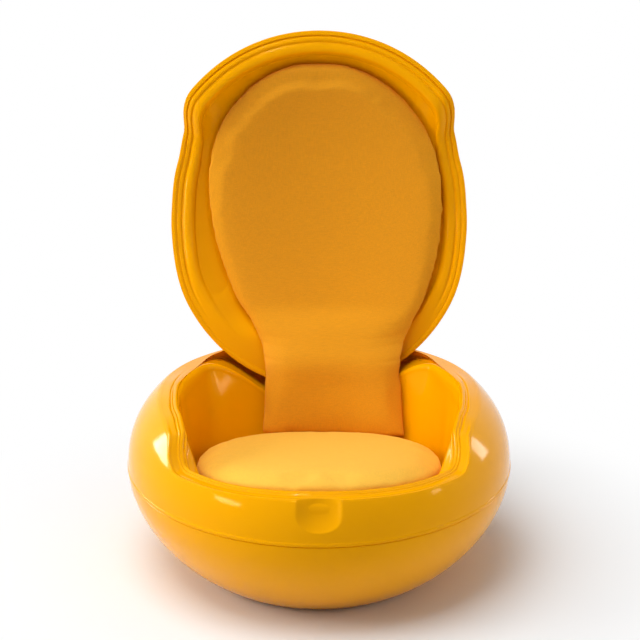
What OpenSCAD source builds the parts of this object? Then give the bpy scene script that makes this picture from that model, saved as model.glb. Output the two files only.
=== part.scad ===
// Folding pod chair: an egg of two moulded halves whose hinged lid becomes the backrest.
// The origin is the centre of the foot on the floor, the front faces -Y and Z points up.

/* [Egg] */
// Width of the closed egg at its belt
egg_w = 764; // [720:2:800]
// Depth of the closed egg, front to back
egg_d = 840; // [800:2:880]
// Height of the closed egg
egg_h = 440; // [430:1:460]
// How far the belt, where the two base mouldings meet, lies below the top
belt_drop = 238; // [230:1:250]
// Wall of the mouldings
shell_wall = 5; // [4:0.5:6]

/* [Rim] */
// How far the rim at the front lies below the top
rim_front_drop = 152; // [144:1:160]
// How far the rim along the arms and round the back lies below the top
rim_arm_drop = 95; // [90:1:102]
// How far the rim sinks at the front corners
rim_corner_dip = 12; // [4:1:16]
// Width of the stepped rim
rim_w = 36; // [32:1:40]
// How far the rim rises from its outer edge to its inner step
rim_rise = 5; // [4:0.5:6]
// Gap between the closed lid and the base
seam_gap = 2; // [1.5:0.5:3]
// Extra gap at the back, where the lid's tail swings past
tail_gap = 5; // [4:0.5:8]

/* [Lid] */
// How far the lid opens from closed
open_angle = 101; // [90:1:103]
// Distance of the hinge axis in front of the egg's back
hinge_back = 150; // [146:1:154]
// How far the hinge axis lies below the seam
hinge_drop = 5; // [4.5:0.5:6]
// Thickness of the double-walled lid
lid_depth = 24; // [20:1:30]

/* [Seat well] */
// Distance of the well's floor from the egg's side
well_side = 130; // [126:1:142]
// Distance of the well's floor from the egg's front
well_front = 78; // [70:1:90]
// Distance of the well's floor in front of the ridge behind it
well_rear = 35; // [32:1:45]
// How far the middle of the well's floor lies below the top
well_floor_drop = 259; // [250:1:270]
// Rise of the floor towards the front, for each unit of depth
floor_slope = 0.2085; // [0.15:0.005:0.25]
// Radius of the roll from the rim down into the well
well_roll = 20; // [14:1:24]
// How far the trough behind the well lies below the swinging tail in the middle
trough_room = 7.8; // [6:0.2:10]
// Distance of the top of the well's rear wall in front of the hinge axis
ridge_front = 20; // [19:1:26]
// How far the trough lies below the swinging tail at the sides
trough_drop = 24; // [20:1:26]

/* [Finger scoop] */
// Width of the finger scoop
scoop_w = 92; // [70:2:110]
// Height of the finger scoop
scoop_h = 62; // [50:1:70]
// Depth of the finger scoop
scoop_depth = 13; // [8:1:16]
// How far the middle of the scoop lies below the rim's height at the front
scoop_drop = 30; // [24:1:36]

/* [Cushions] */
// Thickness of the seat cushion at its edge
seat_pad = 50; // [40:1:54]
// Crown of the seat cushion
seat_crown = 14; // [6:1:18]
// Room round the seat cushion
seat_room = 9; // [6:1:14]
// Full thickness of the back cushion
back_pad = 40; // [30:1:44]
// Half width of the back cushion at its widest, as a share of the egg's
back_share = 0.623; // [0.58:0.005:0.64]
// Half width of the strip that runs down to the seat, as a share of the egg's
strip_share = 0.3665; // [0.32:0.005:0.38]
// How far the loose back cushion has drifted sideways at its foot
back_drift = 28; // [0:1:30]

/* [Hinges] */
// Distance of each hinge from the middle, as a share of the egg's half width
hinge_share = 0.1728; // [0.16:0.005:0.19]
// Width of a hinge leaf
leaf_w = 40; // [36:1:42]
// Thickness of a hinge leaf
leaf_t = 3; // [2.5:0.5:4]
// Radius of the hinge pin
pin_r = 3; // [2.5:0.25:3.5]
// Outer radius of the hinge barrel
barrel_r = 7; // [6:0.5:7.5]
// Radius of a screw shank
screw_r = 2; // [1.5:0.25:2.5]

/* [Hidden] */

shell_colour = "orange";
lid_colour = "gold";
pad_colour = "goldenrod";
metal_colour = "silver";
rubber_colour = "dimgray";

half_w = egg_w / 2;
half_d = egg_d / 2;
belt_z = egg_h - belt_drop;
rim_front_z = egg_h - rim_front_drop;
rim_arm_z = egg_h - rim_arm_drop;
hinge_x = half_w * hinge_share;
hinge_y = half_d - hinge_back;
hinge_z = rim_arm_z - hinge_drop;
ridge_y = hinge_y - ridge_front;
well_half_w = half_w - well_side;
well_front_y = well_front - half_d;
well_rear_y = ridge_y - well_rear;
well_floor_z = egg_h - well_floor_drop;
scoop_z = rim_front_z - scoop_drop;
back_half_w = half_w * back_share;
strip_half_w = half_w * strip_share;
// Shape of the egg: the foot's share of the belt and how full the two halves are
foot_share = 0.634;
lower_power = 1.76;
upper_power = 2.41;
well_power = 2.4;
// Clearances: between pieces that do not move, for the pin, and to the lid's stop
seat_clear = 0.3;
pin_clear = 0.35;
stop_clear = 0.5;
// One overrun for every cut
cut = 1;

// Angles round the egg are measured from the front, where the rim's corner begins and ends
corner_start = 42;
corner_end = 70;
scoop_end = 10;
tail_start = 120;
tail_full = 137;
scoop_steps = 4;
front_steps = 4;
corner_steps = 8;
rear_steps = 14;
HALF_TURN = concat(
    [for (i = [0:scoop_steps - 1]) scoop_end * i / scoop_steps],
    [for (i = [0:front_steps - 1]) scoop_end + (corner_start - scoop_end) * i / front_steps],
    [for (i = [0:corner_steps - 1])
        corner_start + (corner_end - corner_start) * i / corner_steps],
    [for (i = [0:rear_steps]) corner_end + (180 - corner_end) * i / rear_steps]);
TURN = concat(HALF_TURN, [for (i = [len(HALF_TURN) - 2:-1:1]) 360 - HALF_TURN[i]]);
// Evenly spaced angles for pieces without the corner
pad_steps = 44;
PAD_TURN = [for (i = [0:pad_steps - 1]) 360 * i / pad_steps];

// General helpers
function smooth(low, high, x) =
    let (t = min(1, max(0, (x - low) / (high - low)))) t * t * (3 - 2 * t);
function mix(a, b, t) = a + (b - a) * t;
function folded(az) = az > 180 ? 360 - az : az;
function oval(az, rx, ry) = [rx * sin(az), -ry * cos(az)];
function total(list, i = 0) = i == len(list) ? 0 * list[0] : list[i] + total(list, i + 1);
function middle(ring) = total(ring) / len(ring);
// A point of a superellipse at an angle, with half axes rx and ry
function full_oval(az, rx, ry, power) =
    let (s = sin(az), c = cos(az))
    [rx * sign(s) * pow(abs(s), 2 / power), -ry * sign(c) * pow(abs(c), 2 / power)];

// The egg: its share of the belt's half axes at a height, inside a skin of thickness t
function reach(z, t = 0) = z < belt_z
    ? sqrt(1 - (1 - pow(foot_share, 2)) * pow((belt_z - z) / belt_z, lower_power))
    : sqrt(max(0, 1 - pow((z - belt_z) / (egg_h - t - belt_z), upper_power)));
function egg_point(az, z, t = 0) =
    let (p = oval(az, (half_w - t) * reach(z, t), (half_d - t) * reach(z, t))) [p.x, p.y, z];
// Height of the dome over a place, inside a skin of thickness t
function dome_z(x, y, t = 0) =
    let (r = pow(x / (half_w - t), 2) + pow(y / (half_d - t), 2))
    belt_z + (egg_h - t - belt_z) * pow(max(0, 1 - r), 1 / upper_power);
// How far the lid's edge reaches behind the hinge axis at a distance from the middle
function tail_reach(x) =
    half_d * sqrt(max(0, pow(reach(rim_arm_z), 2) - pow(x / half_w, 2))) - hinge_y;

// Height of the lid's edge and of the base's rim round the egg
DIP = [0, 36, 44, 60];
CLIMB = [46, 69];
function lid_edge_z(az) = let (a = folded(az))
    rim_front_z - rim_corner_dip * smooth(DIP[0], DIP[1], a) * (1 - smooth(DIP[2], DIP[3], a))
    + (rim_arm_z - rim_front_z) * smooth(CLIMB[0], CLIMB[1], a);
function base_edge_z(az) =
    lid_edge_z(az) - seam_gap - tail_gap * smooth(tail_start, tail_full, folded(az));
// 0 along the arms and 1 behind the well, where the trough lies
function tail(az) = smooth(tail_start, tail_full, folded(az));

// A closed solid through rings of points, with both ends closed at their middles
module loft(rings, top_first = true) {
    n = len(rings[0]);
    last = len(rings) - 1;
    points = concat([middle(rings[0])], [for (ring = rings) each ring], [middle(rings[last])]);
    end = len(points) - 1;
    faces = concat(
        [for (j = [0:n - 1]) [0, 1 + j, 1 + (j + 1) % n]],
        [for (i = [0:last - 1]) for (j = [0:n - 1]) for (half = [0, 1])
            let (a = 1 + i * n + j, b = 1 + i * n + (j + 1) % n)
            half == 0 ? [a, a + n, b] : [b, a + n, b + n]],
        [for (j = [0:n - 1]) [end, 1 + last * n + (j + 1) % n, 1 + last * n + j]]);
    polyhedron(points, top_first ? [for (f = faces) [f[2], f[1], f[0]]] : faces);
}

// A closed solid between two sheets of points, rows by columns
module padding(face, back) {
    rows = len(face) - 1;
    cols = len(face[0]) - 1;
    n = cols + 1;
    count = (rows + 1) * n;
    points = concat([for (row = face) each row], [for (row = back) each row]);
    border = concat([for (j = [0:cols]) j], [for (i = [1:rows]) i * n + cols],
        [for (j = [cols - 1:-1:0]) rows * n + j], [for (i = [rows - 1:-1:1]) i * n]);
    faces = concat(
        [for (i = [0:rows - 1]) for (j = [0:cols - 1]) for (half = [0, 1])
            let (a = i * n + j)
            half == 0 ? [a, a + 1, a + n] : [a + 1, a + n + 1, a + n]],
        [for (i = [0:rows - 1]) for (j = [0:cols - 1]) for (half = [0, 1])
            let (a = count + i * n + j)
            half == 0 ? [a, a + n, a + 1] : [a + 1, a + n, a + n + 1]],
        [for (k = [0:len(border) - 1]) for (half = [0, 1])
            let (a = border[k], b = border[(k + 1) % len(border)])
            half == 0 ? [a, a + count, b] : [b, a + count, b + count]]);
    polyhedron(points, faces);
}

// Turns what is drawn for the closed lid into the open lid
module opened() {
    translate([0, hinge_y, hinge_z]) rotate([-open_angle, 0, 0])
        translate([0, -hinge_y, -hinge_z]) children();
}
module both_sides() {
    for (side = [-1, 1]) translate([side * hinge_x, 0, 0]) children();
}

// Lower base moulding: a thin bowl with a spigot that enters the upper moulding
spigot_h = 12;
bowl_shares = [0.11, 0.3, 0.55, 0.8];
function bowl_ring(z, t) = [for (az = TURN) egg_point(az, z, t)];
module lower_shell() {
    top = belt_z - seat_clear;
    spigot = shell_wall + seat_clear;
    color(shell_colour) loft(concat(
        [bowl_ring(0, shell_wall)],
        [bowl_ring(shell_wall / 2, 0)],
        [for (s = bowl_shares) bowl_ring(top * s, 0)],
        [bowl_ring(top, 0), bowl_ring(top, spigot), bowl_ring(belt_z + spigot_h, spigot)],
        [bowl_ring(belt_z + spigot_h, spigot + shell_wall)],
        [bowl_ring(top - spigot_h, spigot + shell_wall)],
        [bowl_ring(top * bowl_shares[2], shell_wall)],
        [bowl_ring(top * bowl_shares[0], shell_wall)],
        [bowl_ring(shell_wall, 3 * shell_wall)]), top_first = false);
}

// Upper base moulding: outer skin, stepped rim, seat well and the trough for the lid's tail
belt_bead = 2;
belt_bead_h = 6;
skin_shares = [0.16, 0.34, 0.52, 0.7, 0.86, 0.96];
// Steps of the rim from its inner edge outwards: share of its width, and share of its rise
rim_step_shares = [[1, 0.5], [0.9, 1], [0.56, 0.9], [0.52, 0.3], [0.45, 0.3], [0.41, 0.8],
    [0.26, 0.25], [0.04, 0.15], [0, 0]];
rim_fade = 96;
scoop_power = 1.2;
ridge_power = 2.65;
ridge_shares = [1.02, -0.2];
ridge_in_share = 0.97;
// How far the ridge stands above the trough's floor beside the hinges
ridge_lip = 10;
ridge_half_w = half_w * reach(rim_arm_z - seam_gap) - rim_w;
// How far a scoop sinks into the skin at an angle and a height
function scoop(az, z) =
    let (x = half_w * sin(az), q = pow(2 * x / scoop_w, 2) + pow(2 * (z - scoop_z) / scoop_h, 2))
    cos(az) < 0 || q > 1 ? 0 : scoop_depth * pow(1 - q, scoop_power)
        * smooth(0, rim_rise, base_edge_z(az) - z);
function skin_point(az, z, bead = 0) = egg_point(az, z, scoop(az, z) - bead);
trough_z = hinge_z - tail_reach(0) - trough_room;
trough_flat = hinge_x + leaf_w / 2;
trough_bend = 60;
function trough_floor(x) = mix(trough_z,
    max(trough_z, hinge_z - max(0, tail_reach(x)) - trough_drop),
    smooth(trough_flat, trough_flat + trough_bend, abs(x)));
// A point of the rim, inwards from the edge of the skin
function rim_point(az, share, rise) =
    let (z = base_edge_z(az), k = tail(az), d = mix(rim_w, shell_wall, k) * share,
        p = egg_point(az, z), l = norm([p.x, p.y]),
        fade = 1 - smooth(rim_fade, tail_start, folded(az)))
    [p.x * (1 - d / l), p.y * (1 - d / l), z + rim_rise * fade * rise];
// Where the rim ends: at the well along the arms, down at the trough's floor behind it
function trough_edge(az) =
    let (p = rim_point(az, 1, 0), x = p.x, q = egg_point(az, trough_floor(x), shell_wall))
    mix(p, q, tail(az));
// The top edge of the well's wall
function ridge(az) =
    let (p = rim_point(az, 1, 0), x = p.x * ridge_in_share,
        y = ridge_y * pow(1 - pow(abs(x) / ridge_half_w, ridge_power), 1 / ridge_power),
        lip = ridge_lip * smooth(trough_flat, trough_flat + trough_bend / 2, abs(x)))
    mix(rim_point(az, ridge_shares[0], ridge_shares[1]), [x, y, trough_floor(x) + lip], tail(az));
function floor_at(y) = well_floor_z - floor_slope * (y - well_mid_y);
well_mid_y = (well_front_y + well_rear_y) / 2;
well_half_d = (well_rear_y - well_front_y) / 2;
function well_point(az, grow, lift) =
    let (p = full_oval(az, well_half_w + grow, well_half_d + grow, well_power),
        y = p.y + well_mid_y)
    [p.x, y, floor_at(y) + lift];
// A point of the well's wall: the roll under the ridge, then the wall down to the cove
roll_shares = [[0.4, 0.12], [0.75, 0.55], [0.95, 1.3]];
function rolled(az, shares) =
    let (p = ridge(az), q = well_point(az, 0, 0), d = [q.x - p.x, q.y - p.y],
        l = max(well_roll, norm(d)), step = well_roll * shares.x / l)
    [p.x + d.x * step, p.y + d.y * step, p.z - well_roll * shares.y];
cove_r = 24;
function under(p, grow) = let (l = norm([p.x, p.y]))
    [p.x * (1 + grow / l), p.y * (1 + grow / l), p.z - shell_wall];
module upper_shell() {
    color(shell_colour) loft(concat(
        [for (grow = [-well_half_w / 2, -cove_r]) [for (az = TURN) well_point(az, grow, 0)]],
        [[for (az = TURN) well_point(az, -cove_r / 4, cove_r / 3)]],
        [[for (az = TURN) well_point(az, 0, cove_r)]],
        [[for (az = TURN) mix(well_point(az, 0, cove_r), rolled(az, roll_shares[2]), 0.5)]],
        [for (k = [2:-1:0]) [for (az = TURN) rolled(az, roll_shares[k])]],
        [[for (az = TURN) ridge(az)], [for (az = TURN) trough_edge(az)]],
        [for (s = rim_step_shares) [for (az = TURN) rim_point(az, s[0], s[1])]],
        [for (k = [len(skin_shares) - 1:-1:0]) [for (az = TURN)
            let (z = mix(belt_z + belt_bead_h, base_edge_z(az), skin_shares[k]))
            skin_point(az, z)]],
        [[for (az = TURN) skin_point(az, belt_z + belt_bead_h + belt_bead)]],
        [[for (az = TURN) skin_point(az, belt_z + belt_bead_h, belt_bead)]],
        [[for (az = TURN) skin_point(az, belt_z, belt_bead)]],
        [[for (az = TURN) egg_point(az, belt_z, shell_wall)]],
        [[for (az = TURN) egg_point(az, belt_z + spigot_h + belt_bead, shell_wall)]],
        [[for (az = TURN) egg_point(az, scoop_z - scoop_h / 2, shell_wall + scoop(az, scoop_z))]],
        [[for (az = TURN) let (z = min(base_edge_z(az), trough_edge(az).z) - shell_wall)
            egg_point(az, z, shell_wall)]],
        [[for (az = TURN) under(ridge(az), tail(az) * shell_wall)]],
        [[for (az = TURN) under(rolled(az, roll_shares[2]), shell_wall)]],
        [[for (az = TURN) well_point(az, shell_wall, cove_r / 2)]],
        [for (grow = [-cove_r, -well_half_w / 2])
            [for (az = TURN) well_point(az, grow, -shell_wall)]]));
}

// A screw that stands on its head
screw_head_h = 2;
module screw(length) {
    cylinder(h = screw_head_h, r = 2 * screw_r, $fn = 32);
    cylinder(h = length, r = screw_r, $fn = 32);
}

// Lid: a thin outer dome
lid_ring_shares = [0, 0.14, 0.3, 0.46, 0.62, 0.76, 0.88];
edge_round = 1.5;
function dome_ring(share, t) = [for (az = TURN)
    let (edge = lid_edge_z(az), p = egg_point(az, edge), s = 1 - share)
    share == 0 ? egg_point(az, edge + (t == 0 ? edge_round : 0), t)
        : [p.x * s, p.y * s, dome_z(p.x * s, p.y * s, t)]];
module lid_shell() {
    last = len(lid_ring_shares) - 1;
    color(lid_colour) opened() loft(concat(
        [for (k = [last:-1:0]) dome_ring(lid_ring_shares[k], 0)],
        [[for (az = TURN) egg_point(az, lid_edge_z(az), edge_round)]],
        [[for (az = TURN) egg_point(az, lid_edge_z(az), shell_wall)]],
        [for (k = [1:last]) dome_ring(lid_ring_shares[k], shell_wall)]));
}

// Lid liner: the stepped rim and the shallow dish that the back cushion lies in
// Steps of the lid's rim from outside inwards: share of its width, and rise above the edge
lid_step_shares = [[0.16, 0.2], [0.4, 0.7], [0.44, 1.2], [0.5, 1.2], [0.54, 0.9], [0.84, 1.1]];
// The same on its hidden side, with the share of the wall that it lies behind
lid_back_shares = [[0.62, 1, 0.9], [0.3, 0.5, 0.5]];
lid_lip = [0.9, 1.1];
lid_rise = 6.5;
liner_wall = 4;
dish_shares = [0.06, 0.14, 0.185, 0.23, 0.28, 0.33, 0.38, 0.44, 0.56, 0.69, 0.83, 0.94];
back_shares = [0.06, 0.23, 0.44, 0.69];
// The faceted liner lies this far inside the true curve at most
dish_sag = 2.2;
// 1 where the liner is flat behind the cushion, so that the hinges seat on it
flange_from = 90;
flange_to = 12;
function flange(y) = smooth(hinge_y - flange_from, hinge_y - flange_to, y);
flange_share = 0.45;
function flange_z() = rim_arm_z + lid_rise * flange_share;
lid_fade = 100;
liner_gap = 0.5;
// A point of the lid's rim, inwards from its edge but never inside the outer dome's wall
function lid_rim_point(az, share, rise, lift = 0) =
    let (z = lid_edge_z(az), k = smooth(lid_fade, tail_start, folded(az)),
        up = lid_rise * mix(rise, flange_share, k) + lift,
        p = egg_point(az, z), l = norm([p.x, p.y]), q = egg_point(az, z, shell_wall),
        inner = norm([q.x, q.y]), s = 1 - lid_ring_shares[1],
        slope = (inner - l * s) / (dome_z(p.x * s, p.y * s, shell_wall) - z),
        d = max(rim_w * share, l - inner + up * slope + liner_gap + liner_wall * share))
    [p.x * (1 - d / l), p.y * (1 - d / l), z + up];
function dish_z(x, y, t) = mix(dome_z(x, y, t), flange_z() + lid_depth - t, flange(y));
function dish_ring(share, t) = [for (az = TURN)
    let (p = lid_rim_point(az, lid_lip[0], lid_lip[1]), s = 1 - share,
        lip = p.z + lid_depth - t)
    [p.x * s, p.y * s, max(lip, dish_z(p.x * s, p.y * s, t))]];
module lid_liner() {
    back = lid_depth - liner_wall;
    color(lid_colour) opened() loft(concat(
        [for (k = [len(back_shares) - 1:-1:0]) dish_ring(back_shares[k], back)],
        [for (s = lid_back_shares) [for (az = TURN)
            lid_rim_point(az, s[0], s[1], liner_wall * s[2])]],
        [for (s = lid_step_shares) [for (az = TURN) lid_rim_point(az, s[0], s[1])]],
        [for (share = dish_shares) dish_ring(share, lid_depth)]));
}

// Seat cushion: a crowned oval whose sides are drawn in
seat_ring_shares = [0.35, 0.7, 0.88, 0.97];
// Its side: outwards as a share of the cove, and height as a share of the edge
seat_side_shares = [[0, 0.92], [0.08, 0.74], [0, 0.5], [-0.17, 0.34], [-0.7, 0.1], [-1.3, 0],
    [-5, 0]];
crown_power = 3;
seat_half_w = well_half_w - seat_room;
seat_half_d = well_half_d - seat_room;
function crown(share) = seat_pad + seat_crown * (1 - pow(share, crown_power));
function seat_top(x, y) = floor_at(y) + crown(min(1, pow(pow(abs(x) / seat_half_w, well_power)
    + pow(abs(y - well_mid_y) / seat_half_d, well_power), 1 / well_power)));
function seat_ring(grow, lift) = [for (az = PAD_TURN)
    let (p = full_oval(az, seat_half_w + grow, seat_half_d + grow, well_power),
        y = p.y + well_mid_y)
    [p.x, y, floor_at(y) + lift]];
module seat_cushion() {
    color(pad_colour) loft(concat(
        [for (s = seat_ring_shares) seat_ring(-(1 - s) * seat_half_w, crown(s))],
        [for (s = seat_side_shares) seat_ring(cove_r * s[0], seat_pad * s[1] + seat_clear)]));
}

// Back cushion: an oval panel in the lid, narrowing to a strip that crosses the hinge
back_tip_in = 98;
back_wide_in = 365;
back_tip_y = back_tip_in - half_d;
back_wide_y = back_wide_in - half_d;
back_end_y = ridge_y;
strip_past_hinge = 15;
strip_start_y = hinge_y + strip_past_hinge;
pad_edge_share = 0.22;
pad_columns = 14;
pad_rows = 18;
tip_gap = 2;
tip_power = 2.2;
waist_power = 1.15;
// How far the rows are drawn together near the cushion's ends
row_bunching = 0.7;
function bunched(t) = mix(t, (1 - cos(180 * t)) / 2, row_bunching);
// How the thickness falls off across the cushion and near its tip
edge_powers = [2.6, 0.6];
tip_close = [1.5, 5, 0.7];
// Half width of the cushion at a place along the closed lid
function back_half(y) = y < back_wide_y
    ? back_half_w * sqrt(max(0, 1 - pow((back_wide_y - y) / (back_wide_y - back_tip_y), tip_power)))
    : strip_half_w + (back_half_w - strip_half_w)
        * pow(1 - pow((y - back_wide_y) / (strip_start_y - back_wide_y), 2), waist_power);
function back_mid(y) = back_drift * (y - back_tip_y) / (back_end_y - back_tip_y);
// Thickness across the cushion, u from -1 to 1, drawn in at its edges
function pad_depth(u) = back_pad
    * mix(pad_edge_share, 1, pow(1 - pow(abs(u), edge_powers[0]), edge_powers[1]));
function across(j) = sin(90 * (2 * j / pad_columns - 1));
function back_sheet(front) = [for (i = [0:pad_rows])
    let (t = i / pad_rows, y = mix(back_tip_y + tip_gap, back_end_y, bunched(t)),
        close = pow(min(1, (i + tip_close[0]) / tip_close[1]), tip_close[2]))
    [for (j = [0:pad_columns])
        let (u = across(j), x = back_mid(y) + u * back_half(y),
            z = dish_z(x, y, lid_depth) - dish_sag - tape_t - seat_clear)
        [x, y, front ? z - pad_depth(u) * close : z]]];
module back_cushion() {
    color(pad_colour) opened() padding(back_sheet(true), back_sheet(false));
}

// Lower part of the back cushion: it stands on the seat and leans on the well's rear wall
lower_rows = 7;
lower_above_trough = 49;
lower_top_z = trough_z + lower_above_trough;
lower_lean = [37, 7];
lower_foot_share = 0.75;
wall_bow = 55;
wall_bow_share = 0.45;
wall_bow_side_share = 0.44;
wall_bow_x = half_w * wall_bow_side_share;
function lower_back_y(x, t) = ridge_y - mix(lower_lean[0], lower_lean[1], t)
    - wall_bow * (1 - wall_bow_share * t) * pow(x / wall_bow_x, 2);
function lower_sheet(front) = [for (i = [0:lower_rows])
    let (t = i / lower_rows, close = i == 0 ? lower_foot_share : 1)
    [for (j = [0:pad_columns])
        let (u = across(j), x = back_drift + u * strip_half_w, rear = lower_back_y(x, t),
            y = rear - (front ? pad_depth(u) * close : 0))
        [x, y, mix(seat_top(x, y) + 2 * seat_clear, lower_top_z, t)]]];
module lower_back_cushion() {
    color(pad_colour) padding(lower_sheet(false), lower_sheet(true));
}

// The stretch of the back cushion that folds across the hinge
fold_rows = 5;
fold_bow = 13;
fold_gap_share = 0.012;
function turned(p) = let (y = p.y - hinge_y, z = p.z - hinge_z)
    [p.x, hinge_y + y * cos(open_angle) + z * sin(open_angle),
        hinge_z - y * sin(open_angle) + z * cos(open_angle)];
function fold_sheet(front) =
    let (low = lower_sheet(front)[lower_rows],
        high = [for (p = back_sheet(front)[pad_rows]) turned(p)])
    [for (i = [0:fold_rows])
        let (t = mix(fold_gap_share, 1 - fold_gap_share, i / fold_rows))
        [for (j = [0:pad_columns]) mix(low[j], high[j], t) - [0, fold_bow * sin(180 * t), 0]]];
module back_cushion_fold() {
    color(pad_colour) padding(fold_sheet(false), fold_sheet(true));
}

// Hinges: a bent base leaf, a flat lid leaf, and a pin through their barrels
knuckle_share = 0.32;
knuckle_gap = 0.4;
leaf_length = 36;
leaf_foot_in = 1;
leaf_foot_y = ridge_y + leaf_foot_in;
leaf_foot_end = leaf_foot_y + leaf_length;
foot_top = trough_z + seat_clear;
module barrel(from, to) {
    translate([from, hinge_y, hinge_z]) rotate([0, 90, 0])
        cylinder(h = to - from, r = barrel_r, $fn = 48);
}
module pin_bore() {
    translate([-leaf_w / 2 - cut, hinge_y, hinge_z]) rotate([0, 90, 0])
        cylinder(h = leaf_w + 2 * cut, r = pin_r + pin_clear, $fn = 48);
}
// Draws an outline given in depth and height across a stretch of the hinge
module across_hinge(from, to) {
    translate([from, 0, 0]) rotate([90, 0, 90]) linear_extrude(height = to - from) children();
}
knuckle = leaf_w * knuckle_share;
lean = 8.5;
screw_rows = [12, 28];
foot_screw_in = 24;
foot_screw_y = leaf_foot_y + foot_screw_in;
leaf_lid_end = hinge_y + barrel_r + leaf_length;
screw_cols = [-13, 13];
module base_leaf() {
    top_y = leaf_foot_y + lean;
    top_z = hinge_z - barrel_r + cut;
    difference() {
        union() {
            across_hinge(-leaf_w / 2, leaf_w / 2) polygon([
                [leaf_foot_y, foot_top], [leaf_foot_end, foot_top],
                [leaf_foot_end, foot_top + leaf_t], [leaf_foot_y + leaf_t, foot_top + leaf_t],
                [top_y + leaf_t, top_z - barrel_r], [top_y, top_z - barrel_r]]);
            for (side = [-1, 1]) {
                low = side < 0 ? -leaf_w / 2 : leaf_w / 2 - knuckle;
                across_hinge(low, low + knuckle) polygon([
                    [top_y, top_z - barrel_r], [top_y + leaf_t, top_z - barrel_r],
                    [hinge_y - pin_r, top_z + cut], [hinge_y - barrel_r + cut / 2, hinge_z]]);
                barrel(low, low + knuckle);
            }
        }
        pin_bore();
        for (x = screw_cols) translate([x, foot_screw_y, foot_top - cut])
            cylinder(h = leaf_t + 2 * cut, r = screw_r + seat_clear, $fn = 32);
    }
}
module hinge_base_leaves() {
    color(metal_colour) both_sides() base_leaf();
}
module lid_leaf() {
    inner = leaf_w / 2 - knuckle - knuckle_gap;
    top = flange_z() - seat_clear;
    difference() {
        union() {
            barrel(-inner, inner);
            across_hinge(-inner, inner) polygon([
                [hinge_y, hinge_z + pin_r + cut], [hinge_y + barrel_r, hinge_z],
                [hinge_y + 2 * barrel_r, top - leaf_t], [hinge_y + 2 * barrel_r, top],
                [hinge_y, hinge_z + barrel_r]]);
            across_hinge(-leaf_w / 2, leaf_w / 2) polygon([
                [hinge_y + barrel_r + cut, top - leaf_t], [leaf_lid_end, top - leaf_t],
                [leaf_lid_end, top], [hinge_y + barrel_r + cut, top]]);
        }
        pin_bore();
        for (x = screw_cols) for (y = screw_rows)
            translate([x, hinge_y + barrel_r + y, top - leaf_t - cut])
                cylinder(h = leaf_t + 2 * cut, r = screw_r + seat_clear, $fn = 32);
    }
}
module hinge_lid_leaves() {
    color(metal_colour) opened() both_sides() lid_leaf();
}
module hinge_pins() {
    color(metal_colour) both_sides() translate([-leaf_w / 2 - knuckle_gap, hinge_y, hinge_z])
        rotate([0, 90, 0]) {
            cylinder(h = leaf_w + 2 * knuckle_gap, r = pin_r, $fn = 48);
            translate([0, 0, -screw_head_h]) cylinder(h = screw_head_h, r = 1.5 * pin_r, $fn = 48);
            translate([0, 0, leaf_w + 2 * knuckle_gap])
                cylinder(h = screw_head_h, r = 1.5 * pin_r, $fn = 48);
        }
}
module hinge_base_screws() {
    color(metal_colour) both_sides() for (x = screw_cols)
        translate([x, foot_screw_y, foot_top + leaf_t + screw_head_h])
            mirror([0, 0, 1]) screw(leaf_t + shell_wall + screw_head_h);
}
module hinge_lid_screws() {
    color(metal_colour) opened() both_sides() for (x = screw_cols) for (y = screw_rows)
        translate([x, hinge_y + barrel_r + y, flange_z() - seat_clear - leaf_t - screw_head_h])
            screw(leaf_t + shell_wall + screw_head_h);
}

// Rubber stops on the trough's floor, which the open lid's tail leans on
stop_x = 20;
stop_h = 22;
stop_w = 22;
stop_t = 3.5;
stop_foot = 15;
stop_screw_in = 5;
// Depth of the open tail's edge at a height
function tail_face_y(z) = hinge_y
    + ((hinge_z - z) * cos(open_angle) + hinge_drop) / sin(open_angle);
stop_front = tail_face_y(foot_top) - stop_clear;
stop_screw_y = stop_front + stop_screw_in;
module at_stops() {
    for (side = [-1, 1]) translate([side * stop_x, 0, 0]) children();
}
module lid_stops() {
    low = foot_top;
    high = foot_top + stop_h;
    color(rubber_colour) at_stops() difference() {
        across_hinge(-stop_w / 2, stop_w / 2) polygon([
            [stop_front - stop_t, low], [stop_front + stop_foot, low],
            [stop_front + stop_foot, low + stop_t],
            [tail_face_y(low + stop_t) - stop_clear, low + stop_t],
            [tail_face_y(high) - stop_clear, high], [tail_face_y(high) - stop_t, high]]);
        translate([0, stop_screw_y, low - cut])
            cylinder(h = stop_t + 2 * cut, r = screw_r + seat_clear, $fn = 32);
    }
}
module lid_stop_screws() {
    color(metal_colour) at_stops()
        translate([0, stop_screw_y, foot_top + stop_t + screw_head_h])
            mirror([0, 0, 1]) screw(stop_t + shell_wall + screw_head_h);
}

// Hook-and-loop tapes that hold the back cushion in the lid: place and size as shares
tape_t = 0.8;
tape_half_w = 22;
tape_half_l = 60;
tape_x_share = 0.314;
tape_x = half_w * tape_x_share;
tape_from_wide = 95;
tape_rows_y = [back_wide_y - tape_from_wide, back_wide_y + tape_from_wide];
tape_steps = 3;
tape_depth = dish_sag + tape_t;
function tape_sheet(x0, y0, t) = [for (i = [-tape_steps:tape_steps])
    [for (j = [-1:1])
        let (x = x0 + tape_half_w * j, y = y0 + tape_half_l * i / tape_steps)
        [x, y, dish_z(x, y, lid_depth) - t]]];
module lid_pad_tapes() {
    color(rubber_colour) opened() for (x = [-tape_x, tape_x]) for (y = tape_rows_y)
        padding(tape_sheet(x, y, tape_depth), tape_sheet(x, y, dish_sag));
}

lower_shell();
upper_shell();
lid_shell();
lid_liner();
seat_cushion();
lower_back_cushion();
back_cushion_fold();
back_cushion();
hinge_base_leaves();
hinge_lid_leaves();
hinge_pins();
hinge_base_screws();
hinge_lid_screws();
lid_stops();
lid_stop_screws();
lid_pad_tapes();
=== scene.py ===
"""Dresses a folding pod chair: glossy moulded shells, woven cushions and hinge fittings."""

import math

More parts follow.
